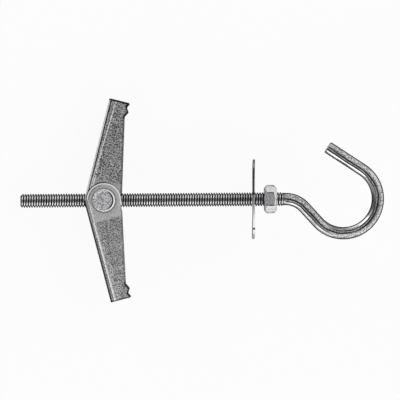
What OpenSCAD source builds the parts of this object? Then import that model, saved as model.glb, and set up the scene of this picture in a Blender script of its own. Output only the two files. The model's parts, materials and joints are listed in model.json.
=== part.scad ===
// Spring toggle anchor with a ceiling hook. A bent hook bolt carries a lock nut, a washer and a
// threaded pivot barrel, on which two folded sheet wings are held open by a torsion spring.
// Sizes are in millimetres, +Z is up, and the loose anchor lies as it comes to rest on a floor.
// Each piece is drawn on the anchor's own axes: the pivot at the origin, x along the rod
// towards the hook, y across the open wings and z along the pivot barrel.

/* [Hook bolt] */
// Diameter over the thread crests
thread_d = 3.8; // [3.6:0.1:4.4]
// Pitch of the thread
thread_p = 0.7; // [0.5:0.05:0.8]
// Diameter of the plain wire in the hook
wire_d = 3.4; // [3:0.1:3.6]
// Length of rod beyond the pivot, on the side away from the hook
tip_reach = 23; // [16:0.5:40]
// Thread left between the lock nut and the hook
thread_spare = 1.65; // [1.6:0.05:6]
// Inner bend that turns the rod down into the hook, radius at the middle of the wire
neck_r = 6.9; // [5:0.1:8]
// Angle of that bend in degrees
neck_a = 48; // [42:1:56]
// Radius of the hook's round at the middle of the wire
hook_r = 9.5; // [8.5:0.1:14]
// Direction in degrees at which the round runs out into the straight tip
hook_end_a = 56.5; // [40:0.5:75]
// Length of the hook's straight tip
hook_tip_l = 11.4; // [6:0.2:14]

/* [Lock nut and washer] */
// Distance from the pivot to the washer's middle
washer_x = 41; // [38:0.5:60]
// Diameter of the washer
washer_d = 21.9; // [18:0.1:26]
// Thickness of the washer
washer_t = 0.6; // [0.5:0.05:1]
// Gap between the washer's bore and the thread
washer_gap = 0.35; // [0.2:0.05:0.6]
// Free thread between the washer and the nut
nut_gap = 2.55; // [2.5:0.05:6]
// Width of the nut across its flats
nut_af = 6.8; // [6.6:0.1:8]
// Thickness of the nut
nut_h = 3.5; // [2.8:0.1:4]

/* [Toggle wings] */
// Length of a wing from the pivot to its cut end
wing_l = 27.5; // [24:0.25:32]
// Distance from the pivot to the outside of a wing's back
back_d = 5.3; // [5.2:0.05:6.5]
// Thickness of the sheet
sheet_t = 0.8; // [0.6:0.05:0.9]
// Outside radius of the folds
fold_r = 1.7; // [1.5:0.05:1.9]
// Radius of the round ears that lie outside
ear_r = 4.7; // [4.4:0.05:5]
// Lean of an open wing from square to the rod, in degrees
open_a = 14.4; // [8:0.2:20]
// Width of a wing at its cut end, from the back to the point of the first tooth
tip_w = 5.65; // [4.8:0.05:6.4]
// Distance between the points of the two teeth
tooth_p = 2.4; // [1.6:0.1:3]
// Depth of the valley between the teeth
tooth_h = 0.55; // [0.3:0.05:0.9]
// How much further the second tooth stands out than the first
tooth_rise = 0.2; // [0:0.05:0.4]

/* [Pivot barrel and spring] */
// Diameter of the pivot barrel in the ears
barrel_d = 5.56; // [5.4:0.02:5.8]
// How far the riveted rim of the barrel stands beyond the ear hole, all round
rivet_lip = 0.2; // [0.1:0.05:0.3]
// Thickness of the riveted ends
rivet_h = 0.4; // [0.3:0.05:0.6]
// Diameter of the spring wire
spring_wire = 0.55; // [0.4:0.05:0.6]
// Distance from the pivot at which the spring presses on the wings
spring_leg = 11; // [8:0.5:16]

/* [Hidden] */

// Clearances: running fits, sheets side by side, the spring in its space and the webs at the stop
run_gap = 0.07;
sheet_gap = 0.1;
spring_gap = 0.1;
coil_gap = 0.02;
stop_gap = 0.1;
notch_gap = 0.35;
// Straight lengths of wire run this far into the bends, and are thinner there by this much all round
lap = 0.2;
lap_gap = 0.01;
// Overshoot of cutting shapes
over = 1;
// Facets of a true round
$fn = 48;

thread_r = thread_d / 2;
// Form of a metric thread, as shares of its pitch, and the lean of its flanks
depth_share = 0.6134;
crest_share = 0.125;
flank_a = 30;
thread_depth = depth_share * thread_p;
crest_w = crest_share * thread_p;
flank_run = thread_depth * tan(flank_a);
root_r = thread_r - thread_depth;
wire_r = wire_d / 2;
straight_r = wire_r - lap_gap;
barrel_r = barrel_d / 2;
ear_hole_r = barrel_r + run_gap;
rivet_r = ear_hole_r + rivet_lip;
fold_in_r = fold_r - sheet_t;
// The wings are identical and lie one sheet apart along the barrel, so that their ears interleave
ear_shift = (sheet_t + sheet_gap) / 2;
coil_turns = 2;
coil_pitch = spring_wire + coil_gap;
coil_w = (coil_turns + 1) * spring_wire + coil_turns * coil_gap;
// Width of a wing over its flanges: rod, one coil on each side of it, and the four ears
wing_w = 2 * (thread_r + 2 * spring_gap + coil_w + sheet_t + ear_shift);
pair_half = wing_w / 2 + ear_shift;
// Flat part of a flange starts here, and an inner ear has to clear the other wing's fold
flat_d = back_d - fold_r;
ear_in_r = flat_d + sqrt(2 * fold_in_r * sheet_gap - pow(sheet_gap, 2)) - sheet_gap;
grip_half = pair_half + sheet_gap / 2;
barrel_half = grip_half + rivet_h;

// Stations along the rod
nut_x = washer_x + washer_t / 2 + nut_gap;
thread_end = nut_x + nut_h + thread_spare;
tip_chamfer = 0.4;
run_out = 0.8;
neck_x = thread_end + run_out;
// The first groove lies behind the pointed start, and the grooves stop short of the run-out
groove_x = tip_chamfer + crest_w;
grooves = floor((tip_reach + thread_end - groove_x) / thread_p);
hook_x = neck_x + neck_r * tan(neck_a / 2) + hook_r / sin(neck_a);
neck_end = [neck_x + neck_r * sin(neck_a), -neck_r * (1 - cos(neck_a))];
round_start = [hook_x - hook_r * sin(neck_a), -hook_r * cos(neck_a)];
round_a0 = 270 - neck_a;
round_end = [hook_x + hook_r * cos(hook_end_a), hook_r * sin(hook_end_a)];

// Attitude of the loose anchor: the plane that touches the washer's rim, the rivet's rim and the
// flange corner at the tip of wing a, found by repeated substitution
wing_touch = [
    wing_l * sin(open_a) - flat_d * cos(open_a),
    wing_l * cos(open_a) + flat_d * sin(open_a),
    -pair_half
];
washer_near = washer_x - washer_t / 2;
lie_steps = 12;
function rim_dip(s) = sqrt(pow(cos(s[1]) * sin(s[0]), 2) + pow(sin(s[1]), 2));
function rim_drop(s) = sqrt(pow(cos(s[1]) * cos(s[0]), 2) + pow(sin(s[1]), 2));
function rivet_low(s) = barrel_half * cos(s[1]) * cos(s[0]) + rivet_r * rim_dip(s);
function washer_low(s) = washer_d / 2 * rim_drop(s) - washer_near * cos(s[1]) * sin(s[0]);
function next_tilt(s) =
    asin((washer_d / 2 * rim_drop(s) - rivet_low(s)) / (washer_near * cos(s[1])));
function next_roll(s) =
    asin((rivet_low(s) + cos(s[1]) * (wing_touch[0] * sin(s[0]) + wing_touch[2] * cos(s[0])))
        / wing_touch[1]);
function settle(s, n) = n == 0 ? s : settle([next_tilt(s), next_roll(s)], n - 1);
lie = settle([0, 0], lie_steps);
lie_tilt = lie[0];
lie_roll = lie[1];
lie_low = washer_low(lie);
// Middle of the lying anchor, put over the origin
lie_mid = ((hook_x + hook_r - tip_reach) * cos(lie_tilt) + wire_r - thread_r * sin(lie_tilt)) / 2;

zinc_bright = [0.80, 0.82, 0.84];
zinc_dull = [0.62, 0.64, 0.67];
zinc_pin = [0.72, 0.74, 0.76];
spring_steel = [0.45, 0.46, 0.48];

module lying()
    translate([-lie_mid, 0, lie_low])
        rotate([-lie_roll, 0, 0])
            rotate([0, -lie_tilt, 0])
                children();

// A straight bar between two bends in the hook's plane
module bar(a, b, r)
    translate([a[0], a[1], 0])
        rotate([0, 0, atan2(b[1] - a[1], b[0] - a[0])])
            rotate([0, 90, 0])
                translate([0, 0, -lap])
                    cylinder(r = r, h = norm(b - a) + 2 * lap);

// A bar bent about the point c, from direction a0 over the angle sweep
module bent_bar(c, bend_r, a0, sweep, r)
    translate([c[0], c[1], 0])
        rotate([0, 0, a0])
            rotate_extrude(angle = sweep)
                translate([bend_r, 0])
                    circle(r = r);

// Half section of the rod: a pointed start, rings of thread one pitch apart and a run-out into the wire
rod_profile = concat(
    [[0, 0], [thread_r - tip_chamfer, 0], [thread_r, tip_chamfer]],
    [for (i = [0:grooves - 1])
        let (start = groove_x + i * thread_p, end = start + thread_p - crest_w)
        each [
            [thread_r, start],
            [root_r, start + flank_run],
            [root_r, end - flank_run],
            [thread_r, end]
        ]],
    [
        [thread_r, tip_reach + thread_end],
        [straight_r, tip_reach + neck_x],
        [straight_r, tip_reach + neck_x + lap],
        [0, tip_reach + neck_x + lap]
    ]
);

module hook_bolt()
    lying()
        color(zinc_bright)
            union() {
                translate([-tip_reach, 0, 0])
                    rotate([0, 90, 0])
                        rotate_extrude()
                            polygon(rod_profile);
                bent_bar([neck_x, -neck_r], neck_r, 90 - neck_a, neck_a, wire_r);
                bar(neck_end, round_start, straight_r);
                bent_bar([hook_x, 0], hook_r, round_a0, 360 + hook_end_a - round_a0, wire_r);
                translate([round_end[0], round_end[1], 0])
                    rotate([0, 0, hook_end_a + 90])
                        rotate([0, 90, 0])
                            rotate_extrude()
                                polygon([
                                    [0, -lap],
                                    [straight_r, -lap],
                                    [straight_r, hook_tip_l - tip_chamfer],
                                    [straight_r - tip_chamfer, hook_tip_l],
                                    [0, hook_tip_l]
                                ]);
            }

// Hexagon with both faces chamfered to a round, and a bore that opens out at each end
module hex_nut() {
    sides = 6;
    half_side_a = 180 / sides;
    chamfer_a = 45;
    face_share = 0.86;
    corner_r = nut_af / 2 / cos(half_side_a);
    face_r = face_share * nut_af / 2;
    peak_r = face_r + nut_h / 2 / tan(chamfer_a);
    bore_r = thread_r + run_gap;
    sink = 0.3;
    lying()
        color(zinc_bright)
            translate([nut_x, 0, 0])
                rotate([0, 90, 0])
                    difference() {
                        intersection() {
                            rotate([0, 0, half_side_a])
                                cylinder(r = corner_r, h = nut_h, $fn = sides);
                            rotate_extrude()
                                polygon([
                                    [0, 0],
                                    [face_r, 0],
                                    [peak_r, nut_h / 2],
                                    [face_r, nut_h],
                                    [0, nut_h]
                                ]);
                        }
                        translate([0, 0, -over])
                            cylinder(r = bore_r, h = nut_h + 2 * over);
                        translate([0, 0, -sink])
                            cylinder(r1 = bore_r + 2 * sink, r2 = bore_r, h = 2 * sink);
                        translate([0, 0, nut_h - sink])
                            cylinder(r1 = bore_r, r2 = bore_r + 2 * sink, h = 2 * sink);
                    }
}

// Stamped disc with its edges broken
module washer() {
    edge_share = 0.2;
    edge = edge_share * washer_t;
    lying()
        color(zinc_bright)
            translate([washer_near, 0, 0])
                rotate([0, 90, 0])
                    rotate_extrude()
                        polygon([
                            [thread_r + washer_gap, 0],
                            [washer_d / 2 - edge, 0],
                            [washer_d / 2, edge],
                            [washer_d / 2, washer_t - edge],
                            [washer_d / 2 - edge, washer_t],
                            [thread_r + washer_gap, washer_t]
                        ]);
}

// Turned barrel, tapped across for the rod, its ends riveted over the ears
module pivot_barrel() {
    rim = rivet_h / 2;
    lying()
        color(zinc_pin)
            difference() {
                rotate_extrude()
                    polygon([
                        [0, -barrel_half],
                        [rivet_r - rim, -barrel_half],
                        [rivet_r, -barrel_half + rim],
                        [rivet_r, -grip_half],
                        [barrel_r, -grip_half],
                        [barrel_r, grip_half],
                        [rivet_r, grip_half],
                        [rivet_r, barrel_half - rim],
                        [rivet_r - rim, barrel_half],
                        [0, barrel_half]
                    ]);
                translate([-barrel_d, 0, 0])
                    rotate([0, 90, 0])
                        cylinder(r = thread_r + run_gap, h = 2 * barrel_d);
            }
}

// One wing on its own axes: x square to its back, y along it, z along the barrel
tooth_v = tip_w - back_d;
// The second tooth ends this many pitches from the cut end
teeth_run = 1.6;
root = [tooth_v - tooth_h, wing_l - teeth_run * tooth_p];
root_a = atan2(root[1], root[0]) - acos(ear_r / norm(root));
edge_start = ear_r * [cos(root_a), sin(root_a)];
stop_lift = stop_gap / 2 / cos(open_a);
back_foot = [-back_d, stop_lift - back_d * tan(open_a)];

module fold_section(half, r, depth, reach) {
    translate([-depth, -half + r])
        square([reach + depth, 2 * (half - r)]);
    translate([-depth + r, -half])
        square([reach + depth - r, 2 * half]);
    for (side = [-1, 1])
        translate([-depth + r, side * (half - r)])
            circle(r = r);
}

// Side view of the folded part, down to the line on which both wings meet
module wing_side()
    polygon([
        [0, stop_lift],
        back_foot,
        [-back_d, wing_l],
        [tooth_v, wing_l],
        [tooth_v - tooth_h, wing_l - tooth_p / 2],
        [tooth_v + tooth_rise, wing_l - tooth_p],
        root,
        edge_start
    ]);

// Flat round ear, which goes past the fold only where the back is cut away
module ear_side(r)
    difference() {
        circle(r = r);
        polygon([
            [-flat_d, stop_lift - flat_d * tan(open_a)],
            [-flat_d, r + over],
            [-back_d - over, r + over],
            [-back_d - over, stop_lift - (back_d + over) * tan(open_a)]
        ]);
    }

module wing_blank() {
    notch_r = thread_r / cos(open_a) + notch_gap;
    notch_u = (sheet_t / 2 - back_d) * tan(open_a);
    fold_l = wing_l + 2 * back_d;
    difference() {
        union() {
            intersection() {
                translate([0, -back_d, -ear_shift])
                    rotate([-90, 0, 0])
                        linear_extrude(fold_l)
                            difference() {
                                fold_section(wing_w / 2, fold_r, back_d, back_d + over);
                                fold_section(wing_w / 2 - sheet_t, fold_in_r, back_d - sheet_t,
                                    back_d + 2 * over);
                            }
                translate([0, 0, -pair_half - over])
                    linear_extrude(2 * (pair_half + over))
                        wing_side();
            }
            translate([0, 0, -pair_half])
                linear_extrude(sheet_t)
                    ear_side(ear_r);
            translate([0, 0, wing_w / 2 - ear_shift - sheet_t])
                linear_extrude(sheet_t)
                    ear_side(ear_in_r);
        }
        // Pivot holes in both ears
        translate([0, 0, -pair_half - over])
            cylinder(r = ear_hole_r, h = 2 * (pair_half + over));
        // Notch in the back for the rod
        translate([-back_d - over, notch_u, 0])
            rotate([0, 90, 0])
                linear_extrude(sheet_t + fold_in_r / 2 + over)
                    union() {
                        circle(r = notch_r);
                        translate([-notch_r, -back_d])
                            square([2 * notch_r, back_d]);
                    }
        // The inner flange stays inside the other wing when both are folded
        translate([ear_in_r, -back_d, 0])
            cube([back_d, fold_l, pair_half]);
    }
}

module wing_a()
    lying()
        color(zinc_dull)
            rotate([0, 0, -open_a])
                wing_blank();

module wing_b()
    lying()
        color(zinc_dull)
            rotate([180, 0, 0])
                rotate([0, 0, -open_a])
                    wing_blank();

// Spring: one coil on each side of the rod, a bridge on wing a and two free ends on wing b
coil_r = barrel_r + spring_gap + spring_wire / 2;
coil_z0 = thread_r + spring_gap + spring_wire / 2;
coil_z1 = coil_z0 + coil_turns * coil_pitch;
coil_steps = 48;
bend_steps = 4;
bridge_r = spring_wire;
spring_sides = 8;
seat_r = fold_in_r - spring_wire / 2 - coil_gap;
fold_z = wing_w / 2 - ear_shift - fold_r;

// Where a leg at the height z presses on a wing's back, clear of the fold, on the anchor's axes
function seat_v(z) = -flat_d - sqrt(max(0, pow(seat_r, 2) - pow(max(0, z - fold_z), 2)));
function seat(z) = [
    seat_v(z) * cos(open_a) + spring_leg * sin(open_a),
    spring_leg * cos(open_a) - seat_v(z) * sin(open_a)
];
function leave_a(p) = atan2(p[1], p[0]) + acos(coil_r / norm(p));
bridge_at = seat(coil_z0);
free_at = seat(coil_z1);
bridge_a = leave_a(bridge_at);
free_a = 360 * (coil_turns + 1) - leave_a(free_at);
leg_dir = [sin(bridge_a), -cos(bridge_a), 0];
leg_side = [cos(bridge_a), sin(bridge_a), 0];
up = [0, 0, 1];

// Each station of the wire: its point and two directions across it
function spin(a, z) = [[coil_r * cos(a), coil_r * sin(a), z], [cos(a), sin(a), 0], up];
spring_half = concat(
    [[[free_at[0], -free_at[1], coil_z1], [cos(free_a), sin(free_a), 0], up]],
    [for (i = [0:coil_steps])
        spin(free_a + (bridge_a - free_a) * i / coil_steps,
            coil_z1 + (coil_z0 - coil_z1) * i / coil_steps)],
    [for (i = [0:bend_steps])
        let (f = 90 * i / bend_steps)
        [[bridge_at[0], bridge_at[1], coil_z0] + bridge_r * ((sin(f) - 1) * leg_dir + (cos(f) - 1) * up),
            leg_side, cos(f) * up + sin(f) * leg_dir]]
);
function flip(p) = [p[0], p[1], -p[2]];
spring_path = concat(
    spring_half,
    [for (i = [len(spring_half) - 1:-1:0])
        [flip(spring_half[i][0]), spring_half[i][1], flip(spring_half[i][2])]]
);
spring_rings = len(spring_path);

module torsion_spring()
    lying()
        color(spring_steel)
            polyhedron(
                points = [for (s = spring_path, k = [0:spring_sides - 1])
                    s[0] + spring_wire / 2
                        * (cos(360 * k / spring_sides) * s[1] + sin(360 * k / spring_sides) * s[2])],
                faces = concat(
                    [[for (k = [0:spring_sides - 1]) k]],
                    [[for (k = [spring_sides - 1:-1:0]) (spring_rings - 1) * spring_sides + k]],
                    [for (i = [0:spring_rings - 2], k = [0:spring_sides - 1])
                        let (n = (k + 1) % spring_sides, b = i * spring_sides)
                        [b + k, b + spring_sides + k, b + spring_sides + n, b + n]]
                )
            );

hook_bolt();
hex_nut();
washer();
pivot_barrel();
wing_a();
wing_b();
torsion_spring();
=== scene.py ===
"""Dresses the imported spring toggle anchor: thread, wire hook, stamped wings, rivet, nut, washer and spring.

All shapes are drawn in millimetres on the anchor's own axes, with the pivot at the origin, x along the rod
towards the hook, y across the open wings and z along the pivot barrel. ANCHOR takes them to the row frame.
"""
import json
from math import acos, atan2, ceil, cos, exp, hypot, log, pi, radians, sin

import bmesh
import bpy
from mathutils import Matrix, Vector


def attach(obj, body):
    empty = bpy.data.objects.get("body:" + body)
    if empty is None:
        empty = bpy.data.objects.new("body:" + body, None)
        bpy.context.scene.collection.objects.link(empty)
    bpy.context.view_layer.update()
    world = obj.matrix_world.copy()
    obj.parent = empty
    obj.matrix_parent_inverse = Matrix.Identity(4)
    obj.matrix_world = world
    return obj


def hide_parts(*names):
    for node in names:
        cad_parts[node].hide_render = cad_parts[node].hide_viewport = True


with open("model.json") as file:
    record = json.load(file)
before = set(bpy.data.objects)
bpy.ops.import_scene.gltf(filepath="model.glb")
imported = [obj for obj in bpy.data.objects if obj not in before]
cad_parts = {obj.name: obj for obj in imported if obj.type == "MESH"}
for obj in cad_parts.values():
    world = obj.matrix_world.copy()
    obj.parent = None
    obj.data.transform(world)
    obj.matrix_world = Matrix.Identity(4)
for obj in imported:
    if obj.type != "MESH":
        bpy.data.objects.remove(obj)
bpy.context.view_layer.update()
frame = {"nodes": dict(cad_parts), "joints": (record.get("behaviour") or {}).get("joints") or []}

MM = 0.001
JOINTS = {joint["name"]: joint for joint in frame["joints"]}

# The anchor's axes in the row frame
ROD = Vector(JOINTS["toggle_travel"]["axis"]).normalized()
PIN = Vector(JOINTS["wing_b_fold"]["axis"]).normalized()
ACROSS = PIN.cross(ROD).normalized()
PIVOT = Vector(JOINTS["wing_b_fold"]["pos_m"])
TURN = Matrix((ROD, ACROSS, PIN)).transposed().to_4x4()
ANCHOR = Matrix.Translation(PIVOT) @ TURN @ Matrix.Diagonal((MM, MM, MM, 1))
TO_MM = ANCHOR.inverted()

# The same axes in the drawing
ALONG = Vector((1, 0, 0))
ASIDE = Vector((0, 1, 0))
UP = Vector((0, 0, 1))

# Points nearer than this are one, in drawn and in CAD meshes
SAME = 1e-4
SAME_CAD = 1e-3


def span(name):
    """Lowest and highest corner of a CAD node on the anchor's axes, in millimetres."""
    points = [TO_MM @ v.co for v in frame["nodes"][name].data.vertices]
    low = Vector([min(p[i] for p in points) for i in range(3)])
    high = Vector([max(p[i] for p in points) for i in range(3)])
    return low, high


# Driving sizes of the hook bolt, in millimetres
BOLT_LOW, BOLT_HIGH = span("hook_bolt")
NUT_LOW, NUT_HIGH = span("hex_nut")
THREAD_R = 1.9
THREAD_ROOT = 1.46
THREAD_PITCH = 0.7
THREAD_SPARE = 1.65
RUN_OUT = 0.8
WIRE_R = 1.7
NECK_R = 6.9
NECK_A = radians(48)
HOOK_R = 9.5
HOOK_END_A = radians(56.5)
HOOK_TIP_L = 11.4
TIP_X = BOLT_LOW.x
THREAD_END = NUT_HIGH.x + THREAD_SPARE
NECK_X = THREAD_END + RUN_OUT
HOOK_X = BOLT_HIGH.x - HOOK_R - WIRE_R


def scene_object(name, data):
    """Puts a mesh, a lamp or a camera into the scene."""
    obj = bpy.data.objects.new(name, data)
    bpy.context.scene.collection.objects.link(obj)
    return obj


def to_mesh(name, bm):
    """A mesh out of a bmesh, which is freed."""
    mesh = bpy.data.meshes.new(name)
    bm.to_mesh(mesh)
    bm.free()
    return mesh


def mesh_object(name, bm):
    """Puts a shape drawn in millimetres on the anchor's axes into the scene, its faces turned outwards."""
    bmesh.ops.recalc_face_normals(bm, faces=bm.faces)
    bmesh.ops.transform(bm, matrix=ANCHOR, verts=bm.verts)
    return scene_object(name, to_mesh(name, bm))


def finish_piece(obj, body, material, stands_for, sharp_deg=32):
    """Shading, material and the frame's bookkeeping for one piece."""
    mesh = obj.data
    mesh.polygons.foreach_set("use_smooth", [True] * len(mesh.polygons))
    mesh.set_sharp_from_angle(angle=radians(sharp_deg))
    mesh.materials.append(material)
    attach(obj, body)
    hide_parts(stands_for)


# Mesh helpers


def angles(count):
    """Equal steps round a circle."""
    return [2 * pi * j / count for j in range(count)]


def around_rod(x, r, a):
    """A point at a radius and an angle round the rod."""
    return Vector((x, r * cos(a), r * sin(a)))


def pairs(ring):
    """Neighbours round a closed ring."""
    return zip(ring, ring[1:] + ring[:1])


def grid_mesh(rows, row_uv, wrap=0):
    """A bmesh skin over rows of points, and its vertices. A full turn leads wrap rows further on."""
    bm = bmesh.new()
    uv_layer = bm.loops.layers.uv.new("along")
    verts = [[bm.verts.new(p) for p in row] for row in rows]
    count = len(rows[0])
    for i in range(len(rows) - 1):
        for j in range(count):
            k = (j + 1) % count
            shift = wrap if k == 0 else 0
            if i + 1 + shift >= len(rows):
                continue
            corners = [(i, j), (i + 1, j), (i + 1 + shift, k), (i + shift, k)]
            face = bm.faces.new([verts[a][b] for a, b in corners])
            unrolled = [(i, j), (i + 1, j), (i + 1, j + 1), (i, j + 1)]
            for loop, (a, b) in zip(face.loops, unrolled):
                loop[uv_layer].uv = row_uv(a, b)
    return bm, verts


def ring_mesh(rows, steps):
    """A closed bmesh out of rows round the rod, the last of which lies on the first."""
    bm, _ = grid_mesh(rows, lambda i, c: (i / steps, c / len(rows[0])))
    bmesh.ops.remove_doubles(bm, verts=bm.verts, dist=SAME)
    return bm


def sweep(stations, sides):
    """Skin of a wire through stations of a point, two directions across the wire and a radius."""
    run = [0.0]
    for (a, *_), (b, *_) in zip(stations, stations[1:]):
        run.append(run[-1] + (b - a).length)
    widest = max(r for *_, r in stations)
    rows = [[p + r * (cos(a) * u + sin(a) * w) for a in angles(sides)] for p, u, w, r in stations]
    return grid_mesh(rows, lambda i, c: (run[i], 2 * pi * widest * c / sides))


def cap(bm, ring, centre):
    """Closes a ring of vertices with a fan to a centre point."""
    hub = bm.verts.new(centre)
    for a, b in pairs(ring):
        bm.faces.new((a, b, hub))


def join(parts):
    """One bmesh out of several."""
    whole = bmesh.new()
    uv = whole.loops.layers.uv.new("along")
    for part in parts:
        part_uv = part.loops.layers.uv["along"]
        made = {v: whole.verts.new(v.co) for v in part.verts}
        for f in part.faces:
            face = whole.faces.new([made[v] for v in f.verts])
            for new, old in zip(face.loops, f.loops):
                new[uv].uv = old[part_uv].uv
        part.free()
    return whole


# Hook bolt

# One pitch of the rolled thread: place along the pitch and height, from root to crest
THREAD_FORM = [(0.0, 1.0), (0.15, 0.98), (0.24, 0.80), (0.39, 0.10),
               (0.5, 0.0), (0.61, 0.10), (0.76, 0.80), (0.85, 0.98)]
AROUND = 40
# The rod's end: step in from the thread's root, and its hollow's width and depth at its rim and middle
TIP_IN = 0.03
DISH_SHARE = 0.72
DISH_RIM = 0.06
DISH_MID = 0.04
# How far the rod's end and the run-out count as crests, which carry the painted highlight
PLAIN_CREST = 0.78


def run_out(x):
    """How far the thread has run out into the plain wire at x, eased from 0 to 1."""
    t = min(1.0, max(0.0, (x - THREAD_END + RUN_OUT / 2) / RUN_OUT))
    return t * t * (3 - 2 * t)


def threaded_rod():
    """Right-hand rolled thread from the chamfered tip to the run-out at the neck."""
    form = len(THREAD_FORM)
    count = ceil(((NECK_X - TIP_X) / THREAD_PITCH + 2) * form)
    tip_r = THREAD_ROOT - TIP_IN
    rows = []
    for i in range(count):
        place, height = THREAD_FORM[i % form]
        row = []
        for j in range(AROUND):
            turn = j / AROUND
            x = TIP_X + THREAD_PITCH * (i // form + place + turn - 1)
            x = min(NECK_X, max(TIP_X, x))
            r = THREAD_ROOT + (THREAD_R - THREAD_ROOT) * height
            r += (WIRE_R - r) * run_out(x)
            r = min(r, tip_r + (x - TIP_X))
            row.append(around_rod(x, r, -2 * pi * turn))
        rows.append(row)

    def row_uv(i, c):
        return (TIP_X + THREAD_PITCH * (i / form + c / AROUND), 2 * pi * THREAD_R * c / AROUND)

    bm, _ = grid_mesh(rows, row_uv, wrap=form)
    bmesh.ops.remove_doubles(bm, verts=bm.verts, dist=SAME)
    ring = [v for v in bm.verts if abs(v.co.x - TIP_X) < SAME]
    ring.sort(key=lambda v: atan2(v.co.z, v.co.y))
    dish = [bm.verts.new((TIP_X + DISH_RIM, DISH_SHARE * v.co.y, DISH_SHARE * v.co.z)) for v in ring]
    for (a, b), (c, d) in zip(pairs(ring), pairs(dish)):
        bm.faces.new((a, b, d, c))
    cap(bm, dish, (TIP_X + DISH_MID, 0, 0))
    loose = [v for v in bm.verts if not v.link_faces]
    bmesh.ops.delete(bm, geom=loose, context="VERTS")
    crest = bm.verts.layers.float.new("crest")
    for v in bm.verts:
        r = hypot(v.co.y, v.co.z)
        on_end = v.co.x < TIP_X + DISH_RIM + SAME and r < tip_r - SAME
        plain = PLAIN_CREST * (1.0 if on_end else run_out(v.co.x))
        v[crest] = min(1.0, max(plain, (r - THREAD_ROOT) / (THREAD_R - THREAD_ROOT)))
    return mesh_object("threaded_rod", bm)


PATH_STEP = 0.4


def hook_path():
    """Middle of the hook's wire from the neck to its tip: a point and a direction at each station."""
    path = []

    def bend(cx, cy, r, a0, a1):
        n = max(2, ceil(abs(a1 - a0) * r / PATH_STEP))
        side = 1 if a1 > a0 else -1
        for i in range(n + 1):
            a = a0 + (a1 - a0) * i / n
            point = Vector((cx + r * cos(a), cy + r * sin(a), 0))
            path.append((point, Vector((-side * sin(a), side * cos(a), 0))))

    bend(NECK_X, -NECK_R, NECK_R, pi / 2, pi / 2 - NECK_A)
    bend(HOOK_X, 0, HOOK_R, 3 * pi / 2 - NECK_A, 2 * pi + HOOK_END_A)
    end, way = path[-1]
    n = ceil(HOOK_TIP_L / PATH_STEP)
    for i in range(1, n + 1):
        path.append((end + way * HOOK_TIP_L * i / n, way))
    return path


# The wire's end: how far it is rounded over, and its hollow's width and depth at its rim and middle
END_ROUND = 0.45
END_STEPS = 5
END_SHARE = 0.45
END_RIM = 0.03
END_MID = 0.02
# Length of the wire's end that the shears left plain
SHEARED_END = 0.2


def hook_wire():
    """Drawn wire swept along the hook, with a sheared tip that is rounded over all round."""
    path = hook_path()
    end, way = path[-1]
    stations = [(p, w, WIRE_R) for p, w in path if (p - end).length > END_ROUND]
    for i in range(END_STEPS + 1):
        a = pi / 2 * i / END_STEPS
        stations.append((end - way * END_ROUND * (1 - sin(a)), way, WIRE_R - END_ROUND * (1 - cos(a))))
    stations.append((end - way * END_RIM, way, WIRE_R * END_SHARE))
    bm, verts = sweep([(p, UP.cross(w), UP, r) for p, w, r in stations], AROUND)
    cap(bm, verts[-1], end - way * END_MID)
    sheared = bm.faces.layers.float.new("sheared")
    for f in bm.faces:
        short = end - f.calc_center_median()
        f[sheared] = 1.0 if short.length < 2 * WIRE_R and short.dot(way) < SHEARED_END else 0.0
    return mesh_object("hook_wire", bm)


# Wings and barrel


def clean_copy(name):
    """A CAD node's mesh on the anchor's axes, with its flat faces joined up."""
    bm = bmesh.new()
    bm.from_mesh(frame["nodes"][name].data)
    bmesh.ops.transform(bm, matrix=TO_MM, verts=bm.verts)
    bmesh.ops.remove_doubles(bm, verts=bm.verts, dist=SAME_CAD)
    bmesh.ops.dissolve_limit(bm, angle_limit=radians(1.0), verts=bm.verts, edges=bm.edges)
    return bm


def close_up(name, bm):
    """Triangulates what has many corners and puts the mesh into the scene."""
    bmesh.ops.triangulate(bm, faces=[f for f in bm.faces if len(f.verts) > 4])
    return mesh_object(name, bm)


SHEET_T = 0.8
EAR_R = 4.7
OPEN_A = radians(14.4)
WING_SIDE = {"wing_a": 1, "wing_b": -1}
# Along each open wing and square to its back, on the anchor's axes
WING_WAY = {wing: Vector((sin(OPEN_A), side * cos(OPEN_A), 0)) for wing, side in WING_SIDE.items()}
WING_ACROSS = {wing: Vector((cos(OPEN_A), -side * sin(OPEN_A), 0)) for wing, side in WING_SIDE.items()}
# Width and fall of the sheared edges, and how dark they are before the teeth start and on the walls
CUT_EDGE = 0.30
CUT_FALL = 0.08
CUT_STEP = 0.7
TEETH_FROM = 23.0
FREE_CUT = {"wing_a": 0.55, "wing_b": 0.35}
WALL_CUT = 0.4
# Cosines that tell flats, sheared walls and cut ends by the way they face
FLAT_COS = 0.999
WALL_COS = 0.3
CUT_END_COS = 0.98
# A sheared rim turns by more than this, and the walls stay plain out to this far past the ears
RIM_DEG = 40
EAR_CLEAR = 0.6


def split_edge(edge, parts):
    """Puts vertices on an edge so that it runs in equal parts."""
    corner = edge.verts[0]
    for left in range(parts, 1, -1):
        made, corner = bmesh.utils.edge_split(edge, corner, 1 / left)
        edge = next(e for e in corner.link_edges if e is not made)


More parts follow.
